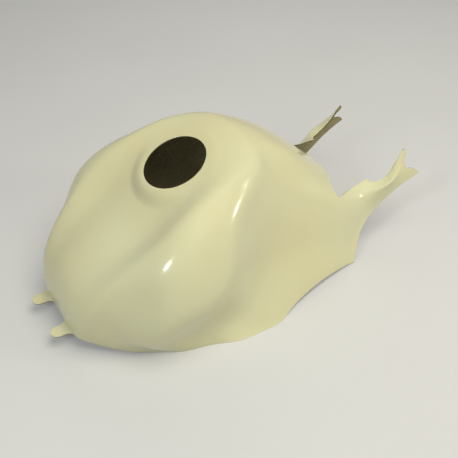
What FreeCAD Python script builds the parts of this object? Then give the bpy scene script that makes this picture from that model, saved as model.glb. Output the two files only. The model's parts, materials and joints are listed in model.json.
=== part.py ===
"""Motorcycle tank cover: one moulded glass-fibre shell with a filler hole, front tongues and rear arms."""
import FreeCAD, Part
import os
import Sketcher
from FreeCAD import Placement, Rotation, Vector

# Driving sizes in millimetres and degrees.
# Points are given in a frame whose origin is on the ground below the filler hole, front at -Y, left at +X.
SIZES = {
    "wall": 3.0,
    "filler_diameter": 112.0,
    "filler_height": 250.0,
    "filler_tilt": 22.8,
    "land_width": 4.0,
    "land_blend": 28.0,
    "tongue_offset": 44.0,
    "tongue_width": 24.0,
    "tongue_root_width": 38.0,
    "tongue_thickness": 3.0,
    "tongue_tip_y": -270.0,
    "tongue_flare_y": -251.0,
    "tongue_seat_y": -242.0,
    "tongue_root_y": -237.8,
    "tongue_lap": 2.0,
    "sill_y": -234.0,
    "sill_height": 27.0,
    "sill_bend_y": -180.0,
    "sill_bend_height": 8.0,
    "foot_front_y": -120.0,
    "foot_rear_y": 95.0,
    "scallop_y": 188.0,
    "scallop_height": 11.0,
    "scallop_end_y": 300.0,
    "tail_half_width": 70.0,
    "tail_side_y": 281.6,
    "tail_middle_y": 299.0,
    "tail_clear_half_width": 52.0,
    "tail_clear_y": 330.0,
    "arm_view": 43.0,
}

# Points of the arm's outline: along the cover, and up the plane that faces the arm squarely.
ARM_OUTLINE = {
    "clear_top": (345.0, 200.0),
    "tail_back": (300.0, 85.0),
    "tail_corner": (281.0, 61.0),
    "crotch_tail": (273.8, 33.5),
    "crotch_bend": (276.4, 26.2),
    "crotch_arm": (286.0, 22.9),
    "tooth": (366.2, 36.0),
    "dip_front": (367.8, 29.6),
    "dip_bend": (372.7, 25.2),
    "dip_rear": (382.3, 23.9),
    "sweep_start": (389.6, 23.8),
    "sweep_bend": (398.0, 27.2),
    "sweep_end": (408.5, 34.4),
    "finger_front": (434.6, 60.0),
    "finger_tip": (439.8, 61.2),
    "finger_rear": (444.0, 54.3),
    "notch_top": (437.2, 44.3),
    "notch_bend": (435.2, 34.5),
    "notch_rear": (443.1, 24.5),
    "lip_bend": (455.0, 20.0),
    "corner": (470.0, 7.6),
    "edge_bend": (417.0, -5.7),
    "arm_root": (365.5, -29.0),
    "wall_bend": (320.0, -62.2),
    "spike": (291.0, -107.2),
    "clear_low": (291.0, -200.0),
    "clear_rear_low": (530.0, -200.0),
    "clear_rear_top": (530.0, 200.0),
}

# Lines of the outer skin from the front sill to the arm ends, each a row of spline poles (x, y, z).
SPINE = [
    (0, -236, 20), (0, -243, 55), (0, -236, 90), (0, -210, 125), (0, -155, 160), (0, -100, 185),
    (0, -55, 215), (0, 0, 250), (0, 55, 275), (0, 105, 285), (0, 125, 280), (0, 150, 270), (0, 185, 250),
    (0, 230, 215), (0, 290, 155), (0, 345, 105), (0, 400, 100), (0, 445, 120), (0, 500, 150),
]
VALLEY = [
    (55, -241, 20), (60, -243, 50), (60, -233, 85), (65, -205, 115), (70, -155, 150), (80, -100, 175),
    (85, -50, 215), (85, -5, 250), (80, 50, 270), (75, 105, 280), (70, 125, 270), (65, 150, 260),
    (65, 185, 240), (60, 230, 205), (60, 290, 135), (60, 345, 145), (110, 400, 100), (90, 445, 205),
    (80, 500, 285),
]
CREST = [
    (78, -234, 15), (87, -231, 55), (95, -227, 85), (100, -200, 125), (110, -155, 165), (120, -105, 200),
    (115, -55, 235), (115, -10, 255), (110, 45, 270), (105, 100, 265), (95, 120, 245), (90, 145, 225),
    (90, 180, 205), (90, 225, 175), (95, 290, 130), (80, 345, 115), (125, 400, 115), (90, 445, 175),
    (85, 500, 235),
]
BROW = [
    (85, -220, 10), (95, -220, 45), (100, -215, 75), (110, -195, 115), (125, -150, 160),
    (135, -110, 195), (135, -60, 230), (130, -20, 240), (125, 30, 255), (115, 90, 250), (110, 110, 235),
    (105, 135, 215), (100, 175, 190), (105, 225, 165), (110, 290, 120), (95, 345, 105), (135, 400, 130),
    (95, 445, 150), (90, 500, 195),
]
SHOULDER = [
    (100, -205, 5), (105, -210, 35), (110, -200, 60), (125, -185, 95), (145, -150, 140),
    (170, -120, 180), (175, -80, 200), (170, -40, 215), (160, 10, 225), (150, 30, 230), (130, 70, 215),
    (120, 120, 190), (110, 170, 170), (115, 225, 145), (125, 290, 105), (105, 345, 90), (120, 400, 115),
    (110, 445, 135), (115, 500, 175),
]
BELT = [
    (125, -170, -5), (130, -175, 20), (140, -175, 40), (155, -175, 60), (175, -155, 85),
    (195, -130, 95), (205, -100, 115), (210, -65, 125), (205, -25, 145), (200, -10, 150), (165, 35, 150),
    (140, 90, 140), (130, 150, 120), (130, 215, 95), (140, 280, 65), (110, 345, 55), (110, 400, 85),
    (120, 445, 105), (120, 500, 125),
]
TUCK = [
    (145, -140, -10), (145, -140, 5), (155, -145, 20), (160, -150, 30), (175, -150, 40), (185, -130, 55),
    (190, -100, 70), (200, -75, 80), (200, -35, 95), (195, -20, 105), (170, 25, 95), (155, 75, 85),
    (145, 125, 75), (145, 205, 50), (150, 270, 35), (125, 335, 30), (115, 400, 60), (125, 445, 80),
    (125, 500, 95),
]
GROOVE = [
    (155, -110, -15), (155, -110, -10), (155, -110, -5), (160, -115, 5), (165, -110, 10), (170, -90, 15),
    (170, -60, 20), (170, -35, 25), (170, -5, 30), (170, 30, 35), (180, 50, 35), (180, 80, 40),
    (175, 125, 40), (170, 190, 25), (160, 255, 15), (150, 310, 10), (140, 395, 35), (130, 445, 55),
    (125, 500, 70),
]
HEM = [
    (165, -80, -22), (165, -75, -20), (165, -75, -18), (175, -70, -16), (180, -65, -14), (185, -45, -12),
    (195, -20, -8), (210, 0, -6), (215, 30, -8), (215, 60, -10), (215, 75, -10), (210, 95, -10),
    (195, 125, -10), (180, 185, -8), (165, 250, -8), (160, 300, -14), (145, 390, 15), (135, 445, 35),
    (130, 500, 50),
]
LINES = {
    "spine": SPINE,
    "valley": VALLEY,
    "crest": CREST,
    "brow": BROW,
    "shoulder": SHOULDER,
    "belt": BELT,
    "tuck": TUCK,
    "groove": GROOVE,
    "hem": HEM,
}
AXES = ("x", "y", "z")
# The line between spine and valley lies this share of the way across, along and down.
PANEL_SHARE = (0.5, 0.4, 0.3)
# The tongue's flare bends through the point at these shares of its width and length.
FLARE_BEND_OUT = 0.3
FLARE_BEND_ALONG = 0.7
DEGREE = 3
SAMPLES_ACROSS = 31
SAMPLES_ALONG = 71
# Samples crowd towards the hem, where the skin turns most, by this power.
SAMPLE_EASE = 1.4
# Cutting prisms reach past the skin by these lengths.
CUT_REACH = 600.0
ARM_CUT_START = 60.0
ARM_CUT_LENGTH = 270.0
BORE_DEPTH = 60.0

doc = FreeCAD.newDocument("tank_cover")
sheet = doc.addObject("Spreadsheet::Sheet", "Sizes")


def fill_sheet():
    """Write every driving size to its own aliased cell."""
    cells = dict(SIZES)
    for name, point in ARM_OUTLINE.items():
        cells[name + "_along"], cells[name + "_up"] = point
    for name, poles in LINES.items():
        for index, pole in enumerate(poles):
            for axis, length in zip(AXES, pole):
                cells[f"{name}_{index}_{axis}"] = length
    for row, (alias, number) in enumerate(cells.items(), start=1):
        sheet.set(f"A{row}", str(float(number)))
        sheet.setAlias(f"A{row}", alias)
    doc.recompute()


def size(alias):
    """One driving size, read from the sheet."""
    return float(sheet.get(alias))


def line_poles(name):
    """The poles of one line of the skin on the left half, read from the sheet."""
    count = len(LINES[name])
    return [Vector(*(size(f"{name}_{index}_{axis}") for axis in AXES)) for index in range(count)]


def mirrored(point):
    """The same point on the right half."""
    return Vector(-point.x, point.y, point.z)


def clamped_knots(pole_count):
    """Knots and multiplicities of an evenly spaced clamped spline."""
    spans = pole_count - DEGREE
    knots = [span / spans for span in range(spans + 1)]
    return knots, [DEGREE + 1] + [1] * (spans - 1) + [DEGREE + 1]


def cage_surface():
    """The smooth form of the outer skin from the right hem over the spine to the left hem."""
    left = {name: line_poles(name) for name in LINES}
    panel = [
        Vector(*(mid[axis] + share * (side[axis] - mid[axis]) for axis, share in enumerate(PANEL_SHARE)))
        for mid, side in zip(left["spine"], left["valley"])
    ]
    half = [panel] + [left[name] for name in LINES if name != "spine"]
    net = [[mirrored(pole) for pole in line] for line in reversed(half)] + [left["spine"]] + half
    across_knots, across_mults = clamped_knots(len(net))
    along_knots, along_mults = clamped_knots(len(net[0]))
    surface = Part.BSplineSurface()
    surface.buildFromPolesMultsKnots(
        net, across_mults, along_mults, across_knots, along_knots, False, False, DEGREE, DEGREE)
    return surface


def filler_frame():
    """Centre and axis of the filler hole."""
    axis = Rotation(Vector(1, 0, 0), size("filler_tilt")).multVec(Vector(0, 0, 1))
    return Vector(0, 0, size("filler_height")), axis


def seated(point):
    """Bring a point of the skin down or up to the flat land round the filler hole."""
    centre, axis = filler_frame()
    offset = point - centre
    height = offset.dot(axis)
    distance = (offset - axis * height).Length
    land = size("filler_diameter") / 2 + size("land_width")
    blend = size("land_blend")
    share = min(max((land + blend - distance) / blend, 0.0), 1.0)
    if abs(height) > land:
        return point
    return point - axis * (height * share * share * (3 - 2 * share))


def outer_grid():
    """Points of the outer skin, the left half sampled and the right half its mirror image."""
    surface = cage_surface()
    half = []
    for across in range(SAMPLES_ACROSS):
        inward = 1 - across / (SAMPLES_ACROSS - 1)
        side = 1 - 0.5 * inward ** SAMPLE_EASE
        row = [surface.value(side, along / (SAMPLES_ALONG - 1)) for along in range(SAMPLES_ALONG)]
        half.append([seated(point) for point in row])
    half[0] = [Vector(0, point.y, point.z) for point in half[0]]
    return [[mirrored(point) for point in row] for row in reversed(half[1:])] + half


def inner_grid(outer):
    """The outer points moved inwards by the wall, square to the skin."""
    last_across, last_along = len(outer) - 1, len(outer[0]) - 1
    grid = []
    for i, row in enumerate(outer):
        moved = []
        for j, point in enumerate(row):
            across = outer[min(i + 1, last_across)][j] - outer[max(i - 1, 0)][j]
            along = row[min(j + 1, last_along)] - row[max(j - 1, 0)]
            outward = across.cross(along).normalize()
            moved.append(point - outward * size("wall"))
        grid.append(moved)
    return grid


def smooth_surface(grid):
    """A smooth surface through a grid of points."""
    surface = Part.BSplineSurface()
    surface.interpolate(grid)
    return surface


def skin_solid():
    """The untrimmed shell: outer and inner skins closed by ruled edges."""
    outer = outer_grid()
    inner = inner_grid(outer)
    skins = [smooth_surface(outer), smooth_surface(inner)]
    faces = [skin.toShape() for skin in skins]
    ends = [skin.bounds() for skin in skins]
    for edge in range(4):
        rails = []
        for skin, bounds in zip(skins, ends):
            across = edge < 2
            rail = skin.uIso(bounds[edge]) if across else skin.vIso(bounds[edge])
            rails.append(rail.toShape())
        faces.append(Part.makeRuledSurface(*rails))
    shell = Part.Shell(faces)
    shell.sewShape()
    solid = Part.Solid(shell)
    return solid if solid.Volume > 0 else solid.reversed()


def named_point(name):
    """The two coordinates of a point of the arm's outline, as expressions."""
    return f"Sizes.{name}_along", f"Sizes.{name}_up"


def value(text):
    """The present value of an expression of the sheet."""
    return float(sheet.evalExpression(text))


def fix(sketch, piece, place, point):
    """Tie a point of a sketch to two expressions of the sheet."""
    for kind, text in zip(("DistanceX", "DistanceY"), point):
        index = sketch.addConstraint(Sketcher.Constraint(kind, -1, 1, piece, place, value(text)))
        sketch.setExpression(f"Constraints[{index}]", text)


def outline(name, placement, stops):
    """A closed sketch of lines and arcs.

    Each stop is a point, or a point and the point through which an arc leads on to the next stop.
    A point is a pair of expressions of the sheet.
    """
    sketch = doc.addObject("Sketcher::SketchObject", name)
    sketch.Placement = placement
    points = [stop[0] for stop in stops]
    joins = []
    for stop, following in zip(stops, points[1:] + points[:1]):
        start, end = [Vector(*(value(text) for text in point)) for point in (stop[0], following)]
        if len(stop) == 1:
            joins.append((sketch.addGeometry(Part.LineSegment(start, end)), 1, 2))
            continue
        bend = Vector(*(value(text) for text in stop[1]))
        arc = sketch.addGeometry(Part.Arc(start, bend, end))
        ccw = (bend - start).cross(end - bend).z > 0
        joins.append((arc, 1, 2) if ccw else (arc, 2, 1))
        mark = sketch.addGeometry(Part.Point(bend), True)
        fix(sketch, mark, 1, stop[1])
        sketch.addConstraint(Sketcher.Constraint("PointOnObject", mark, 1, arc))
    for (piece, _, end), (following, start, _) in zip(joins, joins[1:] + joins[:1]):
        sketch.addConstraint(Sketcher.Constraint("Coincident", piece, end, following, start))
    for (piece, start, _), point in zip(joins, points):
        fix(sketch, piece, start, point)
    return sketch


def extrusion(name, sketch, ahead, behind="0"):
    """A solid prism of a sketch, ahead of and behind its plane."""
    prism = doc.addObject("Part::Extrusion", name)
    prism.Base = sketch
    prism.DirMode = "Normal"
    prism.Solid = True
    prism.setExpression("LengthFwd", ahead)
    prism.setExpression("LengthRev", behind)
    return prism


def cut(name, base, tool):
    """The base with the tool taken away."""
    result = doc.addObject("Part::Cut", name)
    result.Base = base
    result.Tool = tool
    return result


def mirror_copy(name, source):
    """The same piece on the other side of the cover's middle plane."""
    copy = doc.addObject("Part::Mirroring", name)
    copy.Source = source
    copy.Base = Vector(0, 0, 0)
    copy.Normal = Vector(1, 0, 0)
    return copy


def rim_cut():
    """Prism below the rim, seen from the side: sill, flat feet and the scallop up to the spike."""
    plane = Placement(Vector(), Rotation(Vector(0, 1, 0), Vector(0, 0, 1), Vector(1, 0, 0), "ZXY"))
    front, rear = f"-{CUT_REACH}", f"{CUT_REACH}"
    sketch = outline("RimOutline", plane, [
        ((front, "Sizes.sill_height"),),
        (("Sizes.sill_y", "Sizes.sill_height"), ("Sizes.sill_bend_y", "Sizes.sill_bend_height")),
        (("Sizes.foot_front_y", "0"),),
        (("Sizes.foot_rear_y", "0"), ("Sizes.scallop_y", "Sizes.scallop_height")),
        (("Sizes.scallop_end_y", "0"),),
        ((rear, "0"),),
        ((rear, front),),
        ((front, front),),
    ])
    return extrusion("RimCut", sketch, rear, rear)


def tail_cut():
    """Prism behind the tail and between the arms, seen from above, narrowed behind the tail's edge."""
    rear = f"{CUT_REACH}"
    sketch = outline("TailOutline", Placement(), [
        (("Sizes.tail_clear_half_width", rear),),
        (("-Sizes.tail_clear_half_width", rear),),
        (("-Sizes.tail_clear_half_width", "Sizes.tail_clear_y"),),
        (("-Sizes.tail_half_width", "Sizes.tail_side_y"), ("0", "Sizes.tail_middle_y")),
        (("Sizes.tail_half_width", "Sizes.tail_side_y"),),
        (("Sizes.tail_clear_half_width", "Sizes.tail_clear_y"),),
    ])
    return extrusion("TailCut", sketch, rear)


def arm_cut():
    """Prism round the left arm, seen square to the arm: crotch, tooth, finger, notch, corner and spike."""
    turn = Rotation(Vector(0, 1, 0), -size("arm_view"))
    plane = Rotation(Vector(0, 1, 0), turn.multVec(Vector(0, 0, 1)), turn.multVec(Vector(1, 0, 0)), "ZXY")
    base = turn.multVec(Vector(1, 0, 0)) * ARM_CUT_START
    bends = {
        "crotch_tail": "crotch_bend",
        "dip_front": "dip_bend",
        "sweep_start": "sweep_bend",
        "finger_front": "finger_tip",
        "notch_top": "notch_bend",
        "notch_rear": "lip_bend",
        "corner": "edge_bend",
        "arm_root": "wall_bend",
    }
    stops = []
    for name in ARM_OUTLINE:
        if name in bends:
            stops.append((named_point(name), named_point(bends[name])))
        elif name not in bends.values():
            stops.append((named_point(name),))
    return extrusion("ArmCut", outline("ArmOutline", Placement(base, plane), stops), f"{ARM_CUT_LENGTH}")


def filler_cut():
    """The round filler hole, square to its land."""
    centre, axis = filler_frame()
    bore = doc.addObject("Part::Cylinder", "FillerCut")
    bore.setExpression("Radius", "Sizes.filler_diameter / 2")
    bore.Height = BORE_DEPTH
    bore.Placement = Placement(centre - axis * (BORE_DEPTH / 2), Rotation(Vector(0, 0, 1), axis))
    return bore


def tongue():
    """The left front tongue: a flat tab with a round end and a flared root."""
    middle = "Sizes.tongue_offset"
    half, root = "Sizes.tongue_width / 2", "Sizes.tongue_root_width / 2"
    tip = "(Sizes.tongue_tip_y + Sizes.tongue_width / 2)"
    bend_out = f"({half} + ({root} - {half}) * {FLARE_BEND_OUT})"
    bend_y = f"(Sizes.tongue_flare_y + (Sizes.tongue_seat_y - Sizes.tongue_flare_y) * {FLARE_BEND_ALONG})"
    sketch = outline("TongueOutline", Placement(), [
        ((f"{middle} - {half}", tip), (middle, "Sizes.tongue_tip_y")),
        ((f"{middle} + {half}", tip),),
        ((f"{middle} + {half}", "Sizes.tongue_flare_y"), (f"{middle} + {bend_out}", bend_y)),
        ((f"{middle} + {root}", "Sizes.tongue_seat_y"),),
        ((f"{middle} + {root}", "Sizes.tongue_root_y"),),
        ((f"{middle} - {root}", "Sizes.tongue_root_y"),),
        ((f"{middle} - {root}", "Sizes.tongue_seat_y"), (f"{middle} - {bend_out}", bend_y)),
        ((f"{middle} - {half}", "Sizes.tongue_flare_y"),),
    ])
    sketch.Placement.Base.z = size("sill_height") + size("tongue_lap") - size("tongue_thickness")
    return extrusion("TongueLeft", sketch, "Sizes.tongue_thickness")


def build():
    """The finished cover, moved so that its origin is under the middle of its box."""
    fill_sheet()
    skin = doc.addObject("Part::Feature", "Skin")
    skin.Shape = skin_solid()
    left_arm_cut = arm_cut()
    tools = [rim_cut(), tail_cut(), left_arm_cut, mirror_copy("ArmCutRight", left_arm_cut), filler_cut()]
    shell = skin
    for index, tool in enumerate(tools, start=1):
        shell = cut(f"Trim{index}", shell, tool)
    left_tongue = tongue()
    cover = doc.addObject("Part::MultiFuse", "TankCover")
    cover.Shapes = [shell, left_tongue, mirror_copy("TongueRight", left_tongue)]
    cover.Label = "tank_cover"
    cover.setExpression("Placement.Base.y", "-(Sizes.corner_along + Sizes.tongue_tip_y) / 2")
    doc.recompute()
    return cover


def write(part):
    """Check the document and the part, then write the part's file."""
    for item in doc.Objects:
        if "Invalid" in item.State or "Error" in item.State:
            raise RuntimeError(f"{item.Name} did not build")
    if part.Shape.isNull() or not part.Shape.isValid() or len(part.Shape.Solids) != 1:
        raise RuntimeError(f"{part.Label} is not one valid solid")
    os.makedirs("parts", exist_ok=True)
    part.Shape.exportStep(f"parts/{part.Label}.step")


write(build())
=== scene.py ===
"""Motorcycle tank cover: the moulded shell with its finishes, and the studio that shows it."""

import json
import logging
import math
from dataclasses import dataclass, field
from enum import Enum
from typing import Dict, FrozenSet, List, Optional, Sequence, Tuple

import bpy
import numpy as np
from mathutils import Matrix, Vector


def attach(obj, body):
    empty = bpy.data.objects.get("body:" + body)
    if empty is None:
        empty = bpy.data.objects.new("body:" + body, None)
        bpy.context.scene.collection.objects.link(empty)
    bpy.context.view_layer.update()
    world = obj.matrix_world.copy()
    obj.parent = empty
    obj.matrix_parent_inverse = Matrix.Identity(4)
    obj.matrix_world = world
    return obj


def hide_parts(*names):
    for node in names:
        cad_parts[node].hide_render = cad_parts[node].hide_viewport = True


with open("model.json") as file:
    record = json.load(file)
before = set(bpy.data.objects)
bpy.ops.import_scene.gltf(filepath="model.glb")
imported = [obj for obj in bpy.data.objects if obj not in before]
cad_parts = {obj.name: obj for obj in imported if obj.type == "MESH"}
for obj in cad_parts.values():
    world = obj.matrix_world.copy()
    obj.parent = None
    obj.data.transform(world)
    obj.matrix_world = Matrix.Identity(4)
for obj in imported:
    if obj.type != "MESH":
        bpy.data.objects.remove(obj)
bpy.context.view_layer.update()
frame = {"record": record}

LOG = logging.getLogger("tank_cover")
MM = 0.001
TINY = 1e-9
NODE = "tank_cover"
BODY = "root"
MIRROR = np.array([-1.0, 1.0, 1.0])
ABOVE = np.array([0.0, 0.0, 1.0])
WHITE = (1.0, 1.0, 1.0, 1.0)

Point2 = Tuple[float, float]
Point3 = Tuple[float, float, float]
Stop = Tuple[Point2, ...]
Face = List[int]
Edge = Tuple[int, int]
Socket = bpy.types.NodeSocket


class Finish(Enum):
    """Which finish a face of the shell wears; the value is its material slot."""

    OUTSIDE = 0
    INSIDE = 1
    EDGE = 2


def spline_weights(count: int, at: np.ndarray) -> np.ndarray:
    """Weights of the poles of an evenly spaced clamped cubic spline.

    Args:
        count: number of poles.
        at: places along the spline, from 0 to 1.

    Returns:
        One row of weights for each place.
    """
    degree = 3
    knots = np.concatenate([np.zeros(degree), np.linspace(0, 1, count - degree + 1), np.ones(degree)])
    place = np.clip(np.asarray(at, float), 0.0, 1.0 - TINY)[:, None]
    weights = ((place >= knots[:-1]) & (place < knots[1:])).astype(float)
    for order in range(1, degree + 1):
        rise_span = knots[order:-1] - knots[:-order - 1]
        fall_span = knots[order + 1:] - knots[1:-order]
        nought = np.zeros((len(place), len(rise_span)))
        rise = np.divide(place - knots[:-order - 1], rise_span, out=nought.copy(), where=rise_span > 0)
        fall = np.divide(knots[order + 1:] - place, fall_span, out=nought.copy(), where=fall_span > 0)
        weights = rise * weights[:, :-1] + fall * weights[:, 1:]
    return weights


def smooth_step(share: np.ndarray) -> np.ndarray:
    """Ease from 0 to 1 with level ends."""
    held = np.clip(share, 0.0, 1.0)
    return held * held * (3 - 2 * held)


def unit(vectors: np.ndarray) -> np.ndarray:
    """The same directions at length one."""
    return vectors / np.maximum(np.linalg.norm(vectors, axis=-1, keepdims=True), TINY)


def lengths_along(path: np.ndarray) -> np.ndarray:
    """Length of a path from its start to each of its points."""
    return np.concatenate([[0.0], np.cumsum(np.linalg.norm(np.diff(path, axis=0), axis=1))])


def points_along(path: np.ndarray, at: np.ndarray) -> np.ndarray:
    """Points of a path at given lengths from its start."""
    lengths = lengths_along(path)
    return np.stack([np.interp(at, lengths, values) for values in path.T], axis=1)


def open_edges(faces: Sequence[Face]) -> Dict[Edge, int]:
    """Edges that only one face has.

    Args:
        faces: corners of each face in order.

    Returns:
        The number of its face by each open edge.
    """
    edges: Dict[Edge, int] = {}
    for number, face in enumerate(faces):
        for start, end in zip(face, face[1:] + face[:1]):
            if edges.pop((end, start), None) is None:
                edges[(start, end)] = number
    return edges


def arc_through(start: Point2, bend: Point2, end: Point2, steps: int = 10) -> np.ndarray:
    """Points of the arc from start through bend to end, without the end.

    Args:
        start: first point.
        bend: a point on the arc.
        end: last point.
        steps: number of chords.

    Returns:
        The points, one a row.
    """
    (ax, ay), (bx, by), (cx, cy) = start, bend, end
    turn = 2 * (ax * (by - cy) + bx * (cy - ay) + cx * (ay - by))
    sums = [px * px + py * py for px, py in (start, bend, end)]
    middle = np.array([
        (sums[0] * (by - cy) + sums[1] * (cy - ay) + sums[2] * (ay - by)) / turn,
        (sums[0] * (cx - bx) + sums[1] * (ax - cx) + sums[2] * (bx - ax)) / turn,
    ])
    first, last = [math.atan2(py - middle[1], px - middle[0]) for px, py in (start, end)]
    way = 1 if turn > 0 else -1
    sweep = (way * (last - first)) % (2 * math.pi)
    radius = math.hypot(ax - middle[0], ay - middle[1])
    along = first + way * sweep * np.arange(steps) / steps
    return middle + radius * np.stack([np.cos(along), np.sin(along)], axis=1)


@dataclass(frozen=True)
class Outline:
    """A closed outline of lines and arcs, cut out of the skin.

    Each stop is a point, or a point and the point through which an arc leads on to the next stop.
    """

    stops: Sequence[Stop]

    def corners(self) -> np.ndarray:
        """The outline as a fine closed polygon.

        Returns:
            The polygon's corners, one a row.
        """
        rows: List[np.ndarray] = []
        for stop, following in zip(self.stops, list(self.stops[1:]) + [self.stops[0]]):
            if len(stop) == 2:
                rows.append(arc_through(stop[0], stop[1], following[0]))
            else:
                rows.append(np.array([stop[0]], float))
        return np.concatenate(rows)

    def clearance(self, points: np.ndarray) -> np.ndarray:
        """How far points lie outside the outline.

        Args:
            points: points in the outline's plane, one a row.

        Returns:
            Distances, negative inside.
        """
        corners = self.corners()
        nearest = np.full(len(points), np.inf)
        inside = np.zeros(len(points), bool)
        for start, end in zip(corners, np.roll(corners, -1, axis=0)):
            side = end - start
            share = np.clip((points - start) @ side / max(float(side @ side), TINY), 0.0, 1.0)
            gap = points - start - share[:, None] * side
            nearest = np.minimum(nearest, np.einsum("ij,ij->i", gap, gap))
            if start[1] != end[1]:
                spans = (start[1] > points[:, 1]) != (end[1] > points[:, 1])
                meets = side[0] * (points[:, 1] - start[1]) / side[1] + start[0]
                inside ^= spans & (points[:, 0] < meets)
        return np.where(inside, -1.0, 1.0) * np.sqrt(nearest)


@dataclass(frozen=True)
class SkinLines:
    """Lines of the outer skin on the left half, front to rear, as poles in millimetres above the floor.

    The drawing's origin is on the floor below the filler hole, with the front at -Y.
    """

    spine: Sequence[Point3] = (
        (0, -236, 20), (0, -243, 55), (0, -236, 90), (0, -210, 125), (0, -155, 160), (0, -100, 185),
        (0, -55, 215), (0, 0, 250), (0, 55, 275), (0, 105, 285), (0, 125, 280), (0, 150, 270),
        (0, 185, 250), (0, 230, 215), (0, 290, 155), (0, 345, 105), (0, 400, 100), (0, 445, 120),
        (0, 500, 150))
    valley: Sequence[Point3] = (
        (55, -241, 20), (60, -243, 50), (60, -233, 85), (65, -205, 115), (70, -155, 150), (80, -100, 175),
        (85, -50, 215), (85, -5, 250), (80, 50, 270), (75, 105, 280), (70, 125, 270), (65, 150, 260),
        (65, 185, 240), (60, 230, 205), (60, 290, 135), (60, 345, 145), (110, 400, 100), (90, 445, 205),
        (80, 500, 285))
    crest: Sequence[Point3] = (
        (78, -234, 15), (87, -231, 55), (95, -227, 85), (100, -200, 125), (110, -155, 165),
        (120, -105, 200), (115, -55, 235), (115, -10, 255), (110, 45, 270), (105, 100, 265), (95, 120, 245),
        (90, 145, 225), (90, 180, 205), (90, 225, 175), (95, 290, 130), (80, 345, 115), (125, 400, 115),
        (90, 445, 175), (85, 500, 235))
    brow: Sequence[Point3] = (
        (85, -220, 10), (95, -220, 45), (100, -215, 75), (110, -195, 115), (125, -150, 160),
        (135, -110, 195), (135, -60, 230), (130, -20, 240), (125, 30, 255), (115, 90, 250), (110, 110, 235),
        (105, 135, 215), (100, 175, 190), (105, 225, 165), (110, 290, 120), (95, 345, 105), (135, 400, 130),
        (95, 445, 150), (90, 500, 195))
    shoulder: Sequence[Point3] = (
        (100, -205, 5), (105, -210, 35), (110, -200, 60), (125, -185, 95), (145, -150, 140),
        (170, -120, 180), (175, -80, 200), (170, -40, 215), (160, 10, 225), (150, 30, 230), (130, 70, 215),
        (120, 120, 190), (110, 170, 170), (115, 225, 145), (125, 290, 105), (105, 345, 90), (120, 400, 115),
        (110, 445, 135), (115, 500, 175))
    belt: Sequence[Point3] = (
        (125, -170, -5), (130, -175, 20), (140, -175, 40), (155, -175, 60), (175, -155, 85),
        (195, -130, 95), (205, -100, 115), (210, -65, 125), (205, -25, 145), (200, -10, 150), (165, 35, 150),
        (140, 90, 140), (130, 150, 120), (130, 215, 95), (140, 280, 65), (110, 345, 55), (110, 400, 85),
        (120, 445, 105), (120, 500, 125))
    tuck: Sequence[Point3] = (
        (145, -140, -10), (145, -140, 5), (155, -145, 20), (160, -150, 30), (175, -150, 40),
        (185, -130, 55), (190, -100, 70), (200, -75, 80), (200, -35, 95), (195, -20, 105), (170, 25, 95),
        (155, 75, 85), (145, 125, 75), (145, 205, 50), (150, 270, 35), (125, 335, 30), (115, 400, 60),
        (125, 445, 80), (125, 500, 95))
    groove: Sequence[Point3] = (
        (155, -110, -15), (155, -110, -10), (155, -110, -5), (160, -115, 5), (165, -110, 10),
        (170, -90, 15), (170, -60, 20), (170, -35, 25), (170, -5, 30), (170, 30, 35), (180, 50, 35),
        (180, 80, 40), (175, 125, 40), (170, 190, 25), (160, 255, 15), (150, 310, 10), (140, 395, 35),
        (130, 445, 55), (125, 500, 70))
    hem: Sequence[Point3] = (
        (165, -80, -22), (165, -75, -20), (165, -75, -18), (175, -70, -16), (180, -65, -14),
        (185, -45, -12), (195, -20, -8), (210, 0, -6), (215, 30, -8), (215, 60, -10), (215, 75, -10),
        (210, 95, -10), (195, 125, -10), (180, 185, -8), (165, 250, -8), (160, 300, -14), (145, 390, 15),
        (135, 445, 35), (130, 500, 50))
    panel_share: Point3 = (0.5, 0.4, 0.3)

    def net(self) -> np.ndarray:
        """Poles of the whole skin, from the right hem over the spine to the left hem.

        Returns:
            The poles by line and by place along the line.
        """
        spine, valley = np.array(self.spine, float), np.array(self.valley, float)
        panel = spine + (valley - spine) * np.array(self.panel_share)
        upper = (self.valley, self.crest, self.brow, self.shoulder)
        lower = (self.belt, self.tuck, self.groove, self.hem)
        left = np.array([panel] + [np.array(line, float) for line in upper + lower])
        return np.concatenate([left[::-1] * MIRROR, spine[None], left])


@dataclass(frozen=True)
class FillerSeat:
    """The flat land round the filler hole, in the drawing's millimetres."""

    centre: np.ndarray
    axis: np.ndarray
    radius: float
    land_width: float = 4.0
    blend: float = 28.0

    def split(self, points: np.ndarray) -> Tuple[np.ndarray, np.ndarray]:
        """Where points lie about the hole's axis.

        Args:
            points: points of the skin, one a row.

        Returns:
            Heights above the land's plane, and distances from the axis.
        """
        offset = points - self.centre
        height = offset @ self.axis
        return height, np.linalg.norm(offset - height[:, None] * self.axis, axis=1)

    def press(self, points: np.ndarray) -> np.ndarray:
        """Bring points of the skin to the flat land.

        Args:
            points: points of the skin, one a row.

        Returns:
            The moved points.
        """
        height, distance = self.split(points)
        land = self.radius + self.land_width
        share = smooth_step((land + self.blend - distance) / self.blend)
        share = np.where(np.abs(height) > land, 0.0, share)
        return points - (height * share)[:, None] * self.axis


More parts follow.
